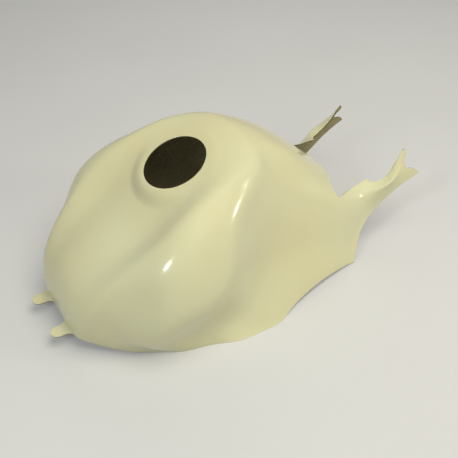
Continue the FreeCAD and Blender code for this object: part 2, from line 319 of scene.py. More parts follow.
@dataclass(frozen=True)
class Tongue:
    """The flat tab at the front, drawn out of the sill with a soft bend, in the drawing's millimetres.

    The bend stops at bend_share of its depth, just short of level. The tab is level after settle_share
    of its length, and its rim follows the plan fully where the tab is at least soft_root long.
    """

    offset: float = 44.0
    width: float = 24.0
    root_width: float = 42.0
    root_band: float = 4.0
    soft_root: float = 5.0
    top_height: float = 29.0
    tip_y: float = -269.9
    flare_y: float = -254.0
    bend: float = 7.0
    bend_share: float = 0.985
    settle_share: float = 0.5
    chord: float = 0.6
    steps: int = 9
    tip_points: int = 25
    flare_points: int = 12

    def ahead(self, points: np.ndarray) -> np.ndarray:
        """Whether points lie in the front part of the cover."""
        return points[..., 1] < self.tip_y / 2

    def reach(self, across: np.ndarray) -> np.ndarray:
        """How fully the tongue's bend has formed.

        Args:
            across: places across the cover.

        Returns:
            Shares from 0 to 1.
        """
        aside = np.abs(np.abs(across) - self.offset)
        fade = (self.root_width - self.width) / 2
        return smooth_step((self.root_width / 2 - aside) / fade)

    def at_root(self, point: np.ndarray) -> bool:
        """Whether a point of the open edge lies below the root of a tongue.

        Args:
            point: the point.

        Returns:
            True below a root.
        """
        aside = abs(abs(point[0]) - self.offset)
        low = point[2] < self.top_height + self.root_band
        return bool(aside < self.root_width / 2 and self.ahead(point) and low)

    def pull(self, points: np.ndarray, sill: float) -> np.ndarray:
        """Draw the foot of the front wall forwards into the tongue's bend.

        Args:
            points: points of the skin, one a row.
            sill: height of the front wall's foot.

        Returns:
            The moved points.
        """
        formed = self.reach(points[:, 0]) * self.ahead(points)
        bend = np.maximum(self.bend * formed, TINY)
        top = sill + (self.top_height - sill) * formed
        drop = np.clip((top + bend - points[:, 2]) / bend, 0.0, self.bend_share)
        moved = points.copy()
        moved[:, 1] -= bend * (1 - np.sqrt(1 - drop * drop))
        return moved

    def rim(self, first: np.ndarray, last: np.ndarray, shares: np.ndarray
            ) -> Tuple[np.ndarray, np.ndarray]:
        """Plan points of the tongue's edge and their outward directions.

        Args:
            first: plan point of the root at its inner end.
            last: plan point of the root at its outer end.
            shares: places along the root, from 0 to 1.

        Returns:
            Edge points and outward directions, one a row.
        """
        half = self.width / 2
        turn = np.linspace(math.pi, 2 * math.pi, self.tip_points)
        tip_middle = np.array([self.offset, self.tip_y + half])
        tip = tip_middle + half * np.stack([np.cos(turn), np.sin(turn)], axis=1)
        inner = self._flare(first, np.array([self.offset - half, self.flare_y]))
        outer = self._flare(last, np.array([self.offset + half, self.flare_y]))
        path = np.concatenate([inner, tip, outer[::-1]])
        at = shares * lengths_along(path)[-1]
        along = unit(points_along(path, at + self.chord) - points_along(path, at - self.chord))
        return points_along(path, at), np.stack([along[:, 1], -along[:, 0]], axis=1)

    def _flare(self, root: np.ndarray, side: np.ndarray) -> np.ndarray:
        """Plan points of the hollow corner between the wall and the tongue's side.

        Args:
            root: where the corner leaves the wall.
            side: where it runs into the tongue's side.

        Returns:
            The points, one a row.
        """
        corner = np.array([side[0], root[1]])
        share = np.linspace(0.0, 1.0, self.flare_points)[:, None]
        return (1 - share) ** 2 * root + 2 * share * (1 - share) * corner + share ** 2 * side


@dataclass
class Sheet:
    """The trimmed outer skin as a mesh: places on the form, points, normals and faces."""

    places: np.ndarray
    points: np.ndarray
    normals: np.ndarray
    faces: List[Face]

    def mirrored(self) -> "Sheet":
        """The sheet joined along the spine to its mirror image.

        Returns:
            The whole sheet.
        """
        count = len(self.points)
        on_spine = self.places[:, 0] == 0.0
        self.points[on_spine, 0] = 0.0
        self.normals[on_spine, 0] = 0.0
        twin = np.where(on_spine, np.arange(count), count + np.cumsum(~on_spine) - 1)
        points = np.concatenate([self.points, self.points[~on_spine] * MIRROR])
        normals = np.concatenate([self.normals, self.normals[~on_spine] * MIRROR])
        places = np.concatenate([self.places, self.places[~on_spine] * MIRROR[:2]])
        faces = self.faces + [[int(twin[corner]) for corner in reversed(face)] for face in self.faces]
        return Sheet(places, points, unit(normals), faces)

    def loops(self) -> List[List[int]]:
        """The open edges of the sheet.

        Returns:
            The corners of each open edge in order, with the skin on the left.
        """
        after = dict(open_edges(self.faces).keys())
        loops = []
        while after:
            start, corner = after.popitem()
            loop = [start]
            while corner != start:
                loop.append(corner)
                corner = after.pop(corner)
            loops.append(loop)
        return loops


@dataclass(frozen=True)
class Cuts:
    """Links of the grid that the trimmed edge cuts, their kept and lost ends, and where they are cut."""

    links: np.ndarray
    kept: np.ndarray
    lost: np.ndarray
    shares: np.ndarray
    met: np.ndarray


@dataclass
class TankCover:
    """The moulded shell: outer skin, inner skin and the rounded trimmed edge between them.

    Sizes are in the drawing's millimetres. The skin's grid is finer on the arms, behind arm_from, and at
    the foot of the front wall, ahead of sill_to and up to sill_band above the sill. Its steps are
    measured on the section at survey_along and on the line at survey_across. Corners closer to the
    trimmed edge than snap_share of a cell are moved onto it.
    """

    seat: FillerSeat
    shift_y: float
    lines: SkinLines = field(default_factory=SkinLines)
    tongue: Tongue = field(default_factory=Tongue)
    wall: float = 3.0
    inset: float = 0.1
    edge_round: float = 0.9
    inner_round: float = 0.6
    arm_view: float = 43.0
    sill_height: float = 27.0
    far: float = 600.0
    cell: float = 4.4
    arm_cell: float = 1.9
    arm_from: float = 255.0
    sill_cell: float = 1.5
    sill_to: float = -150.0
    sill_band: float = 16.0
    survey_points: int = 801
    survey_along: float = 0.45
    survey_across: float = 0.3
    halvings: int = 16
    snap_share: float = 0.22
    root_parts: int = 3
    rim: Outline = Outline((
        ((-600, 27),), ((-234, 27), (-180, 8)), ((-120, 0),), ((95, 0), (188, 11)), ((300, 0),), ((600, 0),),
        ((600, -600),), ((-600, -600),)))
    tail: Outline = Outline((
        ((70, 600),), ((-70, 600),), ((-70, 281.6), (0, 299)), ((70, 281.6),)))
    arm: Outline = Outline((
        ((345, 200),), ((300, 85),), ((281, 61),), ((273.8, 33.5), (276.4, 26.2)), ((286, 22.9),),
        ((366.2, 36),), ((367.8, 29.6), (372.7, 25.2)), ((382.3, 23.9),), ((389.6, 23.8), (398, 27.2)),
        ((408.5, 34.4),), ((434.6, 60), (439.8, 61.2)), ((444, 54.3),), ((437.2, 44.3), (435.2, 34.5)),
        ((443.1, 24.5), (455, 20)), ((470, 7.6), (417, -5.7)), ((365.5, -29), (320, -62.2)),
        ((291, -107.2),), ((291, -200),), ((530, -200),), ((530, 200),)))

    def form(self, places: np.ndarray) -> np.ndarray:
        """Points of the outer skin.

        Args:
            places: pairs from 0 at the spine to 1 at the hem, and from 0 at the front to 1 at the rear.

        Returns:
            The points, one a row.
        """
        net = self.lines.net()
        across = spline_weights(net.shape[0], 0.5 + 0.5 * places[:, 0])
        along = spline_weights(net.shape[1], places[:, 1])
        points = np.einsum("mi,mj,ijk->mk", across, along, net, optimize=True)
        return self.tongue.pull(self.seat.press(points), self.sill_height)

    def outward(self, places: np.ndarray) -> np.ndarray:
        """Directions square to the outer skin.

        Args:
            places: places of the form, one a row.

        Returns:
            The directions, at length one.
        """
        step = 2e-4
        aside = np.array([step, 0.0])
        ahead = np.array([0.0, step])
        across = self.form(places + aside) - self.form(places - aside)
        along = self.form(places + ahead) - self.form(places - ahead)
        return unit(np.cross(across, along))

    def clearance(self, points: np.ndarray) -> np.ndarray:
        """How far points of the skin lie inside the trimmed edge.

        Args:
            points: points of the skin, one a row.

        Returns:
            Distances, negative where the skin is cut away.
        """
        slant = math.radians(self.arm_view)
        up_arm = points[:, 2] * math.cos(slant) - points[:, 0] * math.sin(slant)
        raised = (self.tongue.top_height - self.sill_height) * self.tongue.reach(points[:, 0])
        raised = np.where(self.tongue.ahead(points), raised, 0.0)
        height, distance = self.seat.split(points)
        gaps = [
            self.rim.clearance(np.stack([points[:, 1], points[:, 2] - raised], axis=1)),
            self.tail.clearance(points[:, :2]),
            self.arm.clearance(np.stack([points[:, 1], up_arm], axis=1)),
            np.where(np.abs(height) < self.seat.radius, distance - self.seat.radius, self.far),
        ]
        return np.min(gaps, axis=0)

    def margin(self, places: np.ndarray) -> np.ndarray:
        """How far places lie inside the line where the edge's rounding starts."""
        return self.clearance(self.form(places)) - self.edge_round

    def grid(self) -> Tuple[np.ndarray, np.ndarray]:
        """Places of the grid lines, at about even steps on the skin.

        Returns:
            Places of the lines across the form, and of the lines along it.
        """
        fine = np.linspace(0.0, 1.0, self.survey_points)
        girth = lengths_along(self.form(np.stack([fine, np.full_like(fine, self.survey_along)], axis=1)))
        across = np.interp(np.linspace(0, girth[-1], int(girth[-1] / self.cell) + 1), girth, fine)
        crest = self.form(np.stack([np.full_like(fine, self.survey_across), fine], axis=1))
        middle = (crest[1:] + crest[:-1]) / 2
        at_sill = (middle[:, 1] < self.sill_to) & (middle[:, 2] < self.sill_height + self.sill_band)
        cells = np.full(len(middle), self.cell)
        cells[middle[:, 1] > self.arm_from] = self.arm_cell
        cells[at_sill] = self.sill_cell
        counts = np.concatenate([[0.0], np.cumsum(np.diff(lengths_along(crest)) / cells)])
        along = np.interp(np.linspace(0, counts[-1], int(counts[-1]) + 1), counts, fine)
        return across, along

    def crossings(self, kept: np.ndarray, lost: np.ndarray) -> np.ndarray:
        """Where the trimmed edge is met between places.

        Args:
            kept: places inside the edge, one a row.
            lost: places outside it, one a row.

        Returns:
            Shares of the way from kept to lost.
        """
        low, high = np.zeros(len(kept)), np.ones(len(kept))
        for _ in range(self.halvings):
            middle = (low + high) / 2
            inside = self.margin(kept + middle[:, None] * (lost - kept)) > 0
            low, high = np.where(inside, middle, low), np.where(inside, high, middle)
        return (low + high) / 2

    def half_sheet(self) -> Sheet:
        """The trimmed outer skin of the left half, with its open edge on the line of the rounding.

        Returns:
            The half's sheet.
        """
        across, along = self.grid()
        places = np.stack(np.meshgrid(across, along, indexing="ij"), axis=-1).reshape(-1, 2)
        margin = self.margin(places)
        index = np.arange(len(places)).reshape(len(across), len(along))
        links = np.concatenate([
            np.stack([index[:-1].ravel(), index[1:].ravel()], axis=1),
            np.stack([index[:, :-1].ravel(), index[:, 1:].ravel()], axis=1),
        ])
        self._snap(places, margin, links)
        cuts = self._cuts(places, margin, links)
        crossing = {frozenset(link): len(places) + row for row, link in enumerate(cuts.links.tolist())}
        faces = self._faces(index, margin, crossing)
        return self._compact(np.concatenate([places, cuts.met]), faces)

    def _cuts(self, places: np.ndarray, margin: np.ndarray, links: np.ndarray) -> Cuts:
        """Find the links that the trimmed edge cuts.

        Args:
            places: places of the grid's corners, one a row.
            margin: how far each corner lies inside the edge.
            links: pairs of neighbouring corners, one a row.

        Returns:
            The cut links.
        """
        cut = links[margin[links[:, 0]] * margin[links[:, 1]] < 0]
        flip = margin[cut[:, 0]] < 0
        kept = np.where(flip, cut[:, 1], cut[:, 0])
        lost = np.where(flip, cut[:, 0], cut[:, 1])
        shares = self.crossings(places[kept], places[lost])
        met = places[kept] + shares[:, None] * (places[lost] - places[kept])
        return Cuts(cut, kept, lost, shares, met)

    def _snap(self, places: np.ndarray, margin: np.ndarray, links: np.ndarray) -> None:
        """Move grid corners that lie close to the edge onto it, so that no face is a sliver.

        Args:
            places: places of the grid's corners, which are changed.
            margin: how far each corner lies inside the edge, which is changed.
            links: pairs of neighbouring corners, one a row.
        """
        cuts = self._cuts(places, margin, links)
        best: Dict[int, Tuple[float, int]] = {}
        for row, share in enumerate(cuts.shares):
            for corner, gap in ((int(cuts.kept[row]), share), (int(cuts.lost[row]), 1 - share)):
                leaves_spine = places[corner, 0] == 0.0 and cuts.met[row, 0] != 0.0
                if gap < self.snap_share and not leaves_spine and gap < best.get(corner, (1.0, 0))[0]:
                    best[corner] = (gap, row)
        for corner, (_, row) in best.items():
            places[corner] = cuts.met[row]
            margin[corner] = 0.0

    @staticmethod
    def _faces(index: np.ndarray, margin: np.ndarray, crossing: Dict[FrozenSet[int], int]) -> List[Face]:
        """Whole and cut cells of the grid that lie inside the edge.

        Args:
            index: numbers of the grid's corners, by row and column.
            margin: how far each corner lies inside the edge.
            crossing: number of the corner on each cut link.

        Returns:
            The corners of each face in order.
        """
        faces = []
        corners = (index[:-1, :-1], index[1:, :-1], index[1:, 1:], index[:-1, 1:])
        cells = np.stack(corners, axis=-1).reshape(-1, len(corners))
        for cell in cells[(margin[cells] > 0).any(axis=1)].tolist():
            face = []
            for start, end in zip(cell, cell[1:] + cell[:1]):
                if margin[start] >= 0:
                    face.append(start)
                if margin[start] * margin[end] < 0:
                    face.append(crossing[frozenset((start, end))])
            if len(face) >= 3:
                faces.append(face)
        return faces

    def _compact(self, places: np.ndarray, faces: List[Face]) -> Sheet:
        """A sheet of the corners in use, with the tongue's stretch of the edge divided finely.

        Args:
            places: places of all corners, one a row.
            faces: corners of each face in order.

        Returns:
            The sheet.
        """
        faces, places = self._divide_root(places, faces)
        used = np.unique(np.concatenate([np.array(face) for face in faces]))
        fresh = np.full(len(places), -1)
        fresh[used] = np.arange(len(used))
        faces = [[int(fresh[corner]) for corner in face] for face in faces]
        kept = places[used]
        return Sheet(kept, self.form(kept), self.outward(kept), faces)

    def _divide_root(self, places: np.ndarray, faces: List[Face]) -> Tuple[List[Face], np.ndarray]:
        """Divide the open edges below the tongue's root into short ones.

        Args:
            places: places of all corners, one a row.
            faces: corners of each face in order.

        Returns:
            The faces and the places with the new corners.
        """
        points = self.form(places)
        extra: List[np.ndarray] = []
        for (start, end), number in open_edges(faces).items():
            if not self.tongue.at_root((points[start] + points[end]) / 2):
                continue
            fresh = []
            for part in range(1, self.root_parts):
                fresh.append(len(places) + len(extra))
                extra.append(places[start] + (places[end] - places[start]) * part / self.root_parts)
            face = faces[number]
            at = face.index(start)
            faces[number] = face[:at + 1] + fresh + face[at + 1:]
        return faces, np.concatenate([places, np.array(extra)])

    def build(self) -> bpy.types.Object:
        """The whole shell as one closed mesh.

        Returns:
            The shell's object, in metres.
        """
        sheet = self.half_sheet().mirrored()
        sheet.points = sheet.points - self.inset * sheet.normals
        shell = ShellMesh(sheet, self)
        return shell.make_object("tank_cover_shell", np.array([0.0, self.shift_y, 0.0]))

    def dress(self, piece: bpy.types.Object) -> None:
        """Give the shell its finishes, and its place in the part.

        Args:
            piece: the shell's object.
        """
        for finish in (GelCoat(), RawLaminate(), SawnEdge()):
            piece.data.materials.append(finish.material())
        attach(piece, BODY)
        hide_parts(NODE)


class ShellMesh:
    """Closed mesh of the shell, made from its outer sheet.

    The rings of the edge strip are counted from the outer skin. The coat covers the first of them, the sawn
    edge the next, and the bare laminate the last.
    """

    rounding = np.radians((30.0, 60.0, 90.0))
    coated_rings = 2
    coated_tongue_rings = 4
    edge_rings = 6
    least_run = 5

    def __init__(self, sheet: Sheet, cover: TankCover) -> None:
        """Join the outer sheet, its inner twin and the edge strips.

        Args:
            sheet: the trimmed outer skin.
            cover: the sizes of the shell.
        """
        self.cover = cover
        self.points: List[np.ndarray] = list(sheet.points)
        self.normals: List[np.ndarray] = list(sheet.normals)
        self.faces: List[Face] = [list(face) for face in sheet.faces]
        self.finishes: List[Finish] = [Finish.OUTSIDE] * len(self.faces)
        self.inner_start = len(self.points)
        self.points.extend(sheet.points - sheet.normals * cover.wall)
        self.normals.extend(-sheet.normals)
        for face in sheet.faces:
            self.faces.append([corner + self.inner_start for corner in reversed(face)])
            self.finishes.append(Finish.INSIDE)
        for loop in sheet.loops():
            self._edge_strip(sheet, loop)

    def _add(self, point: np.ndarray, normal: np.ndarray) -> int:
        """Add one corner.

        Args:
            point: its place.
            normal: its outward direction.

        Returns:
            Its number.
        """
        self.points.append(point)
        self.normals.append(normal)
        return len(self.points) - 1

    def _profile(self, top: np.ndarray, out: np.ndarray, up: np.ndarray) -> List[int]:
        """Corners of the rounded edge from the outer to the inner skin, ends left out.

        Args:
            top: point of the outer skin where the rounding starts.
            out: direction away from the material, along the skin.
            up: direction square to the outer skin.

        Returns:
            Numbers of the new corners.
        """
        wide, slim, wall = self.cover.edge_round, self.cover.inner_round, self.cover.wall
        corners = []
        for angle in self.rounding:
            normal = out * math.sin(angle) + up * math.cos(angle)
            point = top + out * (wide * math.sin(angle)) - up * (wide * (1 - math.cos(angle)))
            corners.append(self._add(point, normal))
        corners.append(self._add(top + out * wide - up * (wall / 2), out))
        for angle in self.rounding[::-1]:
            normal = out * math.sin(angle) - up * math.cos(angle)
            side = wide - slim + slim * math.sin(angle)
            point = top + out * side - up * (wall - slim * (1 - math.cos(angle)))
            corners.append(self._add(point, normal))
        return corners

    def _edge_strip(self, sheet: Sheet, loop: List[int]) -> None:
        """Close one open edge between the outer and inner skins.

        Args:
            sheet: the trimmed outer skin.
            loop: corners of the open edge in order.
        """
        points = sheet.points[loop]
        normals = sheet.normals[loop]
        sides = unit(np.roll(points, -1, axis=0) - points)
        side_out = unit(np.cross(sides, normals))
        out = unit(side_out + np.roll(side_out, 1, axis=0))
        out = unit(out - normals * np.einsum("ij,ij->i", out, normals)[:, None])
        columns: Dict[int, List[int]] = {}
        for run in self._root_runs(points):
            columns.update(self._tongue_columns(loop, run, points, normals, out))
        tongue_places = set(columns)
        for place, corner in enumerate(loop):
            if place not in columns:
                middle = self._profile(points[place], out[place], normals[place])
                columns[place] = [corner] + middle + [corner + self.inner_start]
        for place in range(len(loop)):
            following = (place + 1) % len(loop)
            on_tongue = place in tongue_places or following in tongue_places
            self._join(columns[place], columns[following], on_tongue)

    def _root_runs(self, points: np.ndarray) -> List[List[int]]:
        """Stretches of an open edge that lie below a tongue's root.

        Args:
            points: points of the edge in order.

        Returns:
            Places on the edge, a list for each stretch.
        """
        runs: List[List[int]] = []
        for place, point in enumerate(points):
            if not self.cover.tongue.at_root(point):
                continue
            if runs and runs[-1][-1] == place - 1:
                runs[-1].append(place)
            else:
                runs.append([place])
        if len(runs) > 1 and runs[0][0] == 0 and runs[-1][-1] == len(points) - 1:
            runs[0] = runs.pop() + runs[0]
        return [run for run in runs if len(run) >= self.least_run]

    def _tongue_columns(self, loop: List[int], run: List[int], points: np.ndarray, normals: np.ndarray,
                        out: np.ndarray) -> Dict[int, List[int]]:
        """Ribs of a tongue, from the outer skin over its tip and back to the inner skin.

        Args:
            loop: corners of the open edge.
            run: places on the loop below the tongue's root, in order.
            points: points of the loop.
            normals: outward directions of the loop's points.
            out: directions away from the material at the loop's points.

        Returns:
            The corners of each rib by its place on the loop.
        """
        tongue, cover = self.cover.tongue, self.cover
        side = 1.0 if points[run[len(run) // 2], 0] > 0 else -1.0
        plan = points[run][:, :2] * np.array([side, 1.0])
        order = np.argsort(plan[:, 0])
        first, last = plan[order[0]], plan[order[-1]]
        shares = (plan[:, 0] - first[0]) / (last[0] - first[0])
        columns = {}
        for place, plan_edge, plan_out in zip(run, *tongue.rim(first, last, shares)):
            root, up = points[place], normals[place]
            rim_out = np.array([plan_out[0] * side, plan_out[1], 0.0])
            rim_point = np.array([plan_edge[0] * side, plan_edge[1], tongue.top_height])
            length = np.linalg.norm((rim_point - root)[:2])
            share = float(smooth_step(length / tongue.soft_root))
            tip_out = unit(out[place] + share * (rim_out - out[place]))
            tip_up = unit(up + share * (ABOVE - up))
            tip = root + share * (rim_point - rim_out * cover.edge_round - root)
            top, low = [], []
            for along in np.arange(1, tongue.steps + 1) / tongue.steps:
                settle = float(smooth_step(along / tongue.settle_share))
                spot = root + along * (tip - root)
                spot[2] = root[2] + settle * (tip[2] - root[2])
                spot_up = unit(up + settle * (tip_up - up))
                top.append(self._add(spot, spot_up))
                low.append(self._add(spot - spot_up * cover.wall, -spot_up))
            middle = self._profile(tip, tip_out, tip_up)
            columns[place] = [loop[place]] + top + middle + low[::-1] + [loop[place] + self.inner_start]
        return columns

    def _join(self, here: List[int], ahead: List[int], tongue: bool) -> None:
        """Lay faces between two neighbouring columns of an edge strip.

        Args:
            here: corners of the first column.
            ahead: corners of the next one.
            tongue: whether one of them is a rib of a tongue.
        """
        spare = self.cover.tongue.steps
        size = max(len(here), len(ahead))
        here, ahead = [
            column if len(column) == size else [column[0]] * spare + column + [column[-1]] * spare
            for column in (here, ahead)
        ]
        lead = spare if tongue else 0
        for place in range(size - 1):
            face = [ahead[place], here[place], here[place + 1], ahead[place + 1]]
            face = [corner for number, corner in enumerate(face) if corner != face[number - 1]]
            if len(face) >= 3:
                self.faces.append(face)
                self.finishes.append(self._finish_of(place - lead, tongue))

    def _finish_of(self, ring: int, tongue: bool) -> Finish:
        """Finish of a face of the edge strip.

        Args:
            ring: the face's ring, counted from the outer skin.
            tongue: whether it is on a tongue.

        Returns:
            The finish.
        """
        if ring < (self.coated_tongue_rings if tongue else self.coated_rings):
            return Finish.OUTSIDE
        return Finish.EDGE if ring < self.edge_rings else Finish.INSIDE

    def make_object(self, name: str, shift: np.ndarray) -> bpy.types.Object:
        """The mesh as an object of the scene.

        Args:
            name: name of the object and its mesh.
            shift: move from the drawing's frame to the part's, in millimetres.

        Returns:
            The new object.
        """
        mesh = bpy.data.meshes.new(name)
        points = (np.array(self.points) + shift) * MM
        points[:, 2] = np.maximum(points[:, 2], 0.0)
        mesh.from_pydata(points.tolist(), [], self.faces)
        mesh.polygons.foreach_set("material_index", [finish.value for finish in self.finishes])
        mesh.polygons.foreach_set("use_smooth", [True] * len(self.faces))
        mesh.normals_split_custom_set_from_vertices(unit(np.array(self.normals)).tolist())
        mesh.validate(verbose=False)
        mesh.update()
        piece = bpy.data.objects.new(name, mesh)
        bpy.context.scene.collection.objects.link(piece)
        return piece


@dataclass(frozen=True)
class Grain:
    """A noise pattern: features a metre, octaves of finer noise, and depth in metres where it is raised."""

    scale: float
    detail: float = 3.0
    depth: float = 0.0


class Nodes:
    """Short-hand for building a material's node tree."""

    def __init__(self, name: str) -> None:
        """Start a material with one principled shader.

        Args:
            name: name of the material.
        """
        self.material = bpy.data.materials.new(name)
        self.material.use_nodes = True
        self.tree = self.material.node_tree
        self.shader = self.tree.nodes["Principled BSDF"]
        self.place = self.tree.nodes.new("ShaderNodeTexCoord").outputs["Object"]

    def link(self, source: Socket, target: Socket) -> None:
        """Join two sockets."""
        self.tree.links.new(source, target)

    def feed(self, source: Socket, name: str) -> None:
        """Join a socket to an input of the shader."""
        self.link(source, self.shader.inputs[name])

    def fix(self, name: str, value: float) -> None:
        """Give an input of the shader a fixed value."""
        self.shader.inputs[name].default_value = value

    def colour(self, value: Point3) -> Socket:
        """One colour all over.

        Args:
            value: the colour.

        Returns:
            The colour's socket.
        """
        node = self.tree.nodes.new("ShaderNodeRGB")
        node.outputs["Color"].default_value = (*value, 1.0)
        return node.outputs["Color"]

    def stretched(self, scale: Point3, turn: Point3) -> Socket:
        """Object coordinates turned and stretched.

        Args:
            scale: stretch along each axis.
            turn: turn about each axis, in radians.

        Returns:
            The coordinates.
        """
        node = self.tree.nodes.new("ShaderNodeMapping")
        node.inputs["Scale"].default_value = scale
        node.inputs["Rotation"].default_value = turn
        self.link(self.place, node.inputs["Vector"])
        return node.outputs["Vector"]

    def noise(self, grain: Grain, at: Optional[Socket] = None) -> Socket:
        """Value of a noise texture.

        Args:
            grain: the pattern.
            at: coordinates, or the object's own where none are given.

        Returns:
            The noise's value, from 0 to 1.
        """
        node = self.tree.nodes.new("ShaderNodeTexNoise")
        node.inputs["Scale"].default_value = grain.scale
        node.inputs["Detail"].default_value = grain.detail
        self.link(at or self.place, node.inputs["Vector"])
        return node.outputs["Fac"]

    def ramp(self, value: Socket, span: Point2, first: Point3, second: Point3) -> Socket:
        """A colour between two for each value.

        Args:
            value: the value.
            span: values at which the first and the second colour are pure.
            first: colour of low values.
            second: colour of high values.

        Returns:
            The colour.
        """
        node = self.tree.nodes.new("ShaderNodeValToRGB")
        for element, place, colour in zip(node.color_ramp.elements, span, (first, second)):
            element.position = place
            element.color = (*colour, 1.0)
        self.link(value, node.inputs["Fac"])
        return node.outputs["Color"]

    def moved(self, value: Socket, source: Point2, target: Point2) -> Socket:
        """A value moved from one range to another.

        Args:
            value: the value.
            source: the range it comes from.
            target: the range it goes to.

        Returns:
            The new value.
        """
        node = self.tree.nodes.new("ShaderNodeMapRange")
        node.inputs["From Min"].default_value, node.inputs["From Max"].default_value = source
        node.inputs["To Min"].default_value, node.inputs["To Max"].default_value = target
        self.link(value, node.inputs["Value"])
        return node.outputs["Result"]

    def mix(self, share: Socket, first: Socket, second: Socket) -> Socket:
        """Two colours mixed.

        Args:
            share: share of the second colour.
            first: the first colour.
            second: the second colour.

        Returns:
            The mixed colour.
        """
        node = self.tree.nodes.new("ShaderNodeMix")
        node.data_type = "RGBA"
        self.link(share, node.inputs["Factor"])
        self.link(first, node.inputs["A"])
        self.link(second, node.inputs["B"])
        return node.outputs["Result"]

    def bump(self, height: Socket, depth: float, under: Optional[Socket] = None) -> Socket:
        """A bump normal.

        Args:
            height: the heights, from 0 to 1.
            depth: depth of a height of 1, in metres.
            under: the normal it lies on, or the shape's own where none is given.

        Returns:
            The normal.
        """
        node = self.tree.nodes.new("ShaderNodeBump")
        node.inputs["Distance"].default_value = depth
        self.link(height, node.inputs["Height"])
        if under is not None:
            self.link(under, node.inputs["Normal"])
        return node.outputs["Normal"]


@dataclass(frozen=True)
class GelCoat:
    """Glossy ivory gel coat, with a slight drift of colour, soft ripples and a few specks."""

    pale: Point3 = (0.79, 0.78, 0.50)
    deep: Point3 = (0.77, 0.72, 0.42)
    drift: Grain = Grain(5.0, 4.0)
    drift_span: Point2 = (0.32, 0.68)
    speck: Point3 = (0.42, 0.36, 0.22)
    specks: Grain = Grain(420.0, 2.0)
    speck_span: Point2 = (0.76, 0.82)
    speck_cover: Point2 = (0.0, 0.6)
    wear: Grain = Grain(9.0, 2.0)
    wear_span: Point2 = (0.1, 0.9)
    roughness: Point2 = (0.18, 0.24)
    ripple: Grain = Grain(14.0, 0.0, 0.0004)
    peel: Grain = Grain(260.0, 1.0, 0.00004)
    ior: float = 1.5
    coat: float = 0.35
    coat_roughness: float = 0.09

    def material(self) -> bpy.types.Material:
        """The finish as a node material.

        Returns:
            The material.
        """
        nodes = Nodes("ivory_gel_coat")
        drift = nodes.ramp(nodes.noise(self.drift), self.drift_span, self.deep, self.pale)
        specks = nodes.moved(nodes.noise(self.specks), self.speck_span, self.speck_cover)
        nodes.feed(nodes.mix(specks, drift, nodes.colour(self.speck)), "Base Color")
        nodes.feed(nodes.moved(nodes.noise(self.wear), self.wear_span, self.roughness), "Roughness")
        ripple = nodes.bump(nodes.noise(self.ripple), self.ripple.depth)
        nodes.feed(nodes.bump(nodes.noise(self.peel), self.peel.depth, ripple), "Normal")
        nodes.fix("IOR", self.ior)
        nodes.fix("Coat Weight", self.coat)
        nodes.fix("Coat Roughness", self.coat_roughness)
        return nodes.material


@dataclass(frozen=True)
class RawLaminate:
    """Unpainted glass mat and resin on the inside, tan to olive, with chopped strands."""

    tan: Point3 = (0.42, 0.36, 0.18)
    olive: Point3 = (0.26, 0.24, 0.12)
    resin: Grain = Grain(18.0, 5.0)
    resin_span: Point2 = (0.3, 0.7)
    strand: Point3 = (0.52, 0.44, 0.26)
    strands: Grain = Grain(1.0, 1.0, 0.0005)
    strand_stretch: Point3 = (620.0, 45.0, 620.0)
    strand_turns: Tuple[Point3, ...] = ((0.2, 0.9, 0.3), (1.3, 0.2, 1.1), (0.7, 1.9, 2.0))
    strand_span: Point2 = (0.45, 0.62)
    strand_cover: Point2 = (0.0, 0.8)
    lumps: Grain = Grain(60.0, 3.0, 0.0012)
    roughness_span: Point2 = (0.3, 0.7)
    roughness: Point2 = (0.45, 0.75)

    def material(self) -> bpy.types.Material:
        """The finish as a node material.

        Returns:
            The material.
        """
        nodes = Nodes("raw_glass_laminate")
        resin = nodes.ramp(nodes.noise(self.resin), self.resin_span, self.olive, self.tan)
        first, share, second = [
            nodes.noise(self.strands, nodes.stretched(self.strand_stretch, turn))
            for turn in self.strand_turns
        ]
        strands = nodes.mix(share, first, second)
        shown = nodes.moved(strands, self.strand_span, self.strand_cover)
        fibre = nodes.ramp(shown, (0.0, 1.0), self.tan, self.strand)
        nodes.feed(nodes.mix(shown, resin, fibre), "Base Color")
        nodes.feed(nodes.moved(strands, self.roughness_span, self.roughness), "Roughness")
        lumps = nodes.bump(nodes.noise(self.lumps), self.lumps.depth)
        nodes.feed(nodes.bump(strands, self.strands.depth, lumps), "Normal")
        return nodes.material


@dataclass(frozen=True)
class SawnEdge:
    """The trimmed edge, dull and rough: dark partly from resin and broken glass, and partly from painted
    shade of the cut edge in shadow.
    """

    # near-black tone: resin colour darkened further as painted shade of the cut edge in shadow
    resin_and_painted_shade: Point3 = (0.055, 0.055, 0.025)
    light: Point3 = (0.26, 0.24, 0.12)
    colour_span: Point2 = (0.36, 0.68)
    teeth: Grain = Grain(380.0, 6.0, 0.0008)
    patches: Grain = Grain(70.0, 3.0)
    roughness_span: Point2 = (0.3, 0.7)
    roughness: Point2 = (0.6, 0.9)

    def material(self) -> bpy.types.Material:
        """The finish as a node material.

        Returns:
            The material.
        """
        nodes = Nodes("sawn_laminate_edge")
        teeth = nodes.noise(self.teeth)
        patches = nodes.noise(self.patches)
        mixed = nodes.mix(patches, teeth, patches)
        # the ramp runs from the resin colour with painted shade to the lighter glass patches
        nodes.feed(nodes.ramp(mixed, self.colour_span, self.resin_and_painted_shade, self.light), "Base Color")
        nodes.feed(nodes.moved(teeth, self.roughness_span, self.roughness), "Roughness")
        nodes.feed(nodes.bump(teeth, self.teeth.depth), "Normal")
        return nodes.material


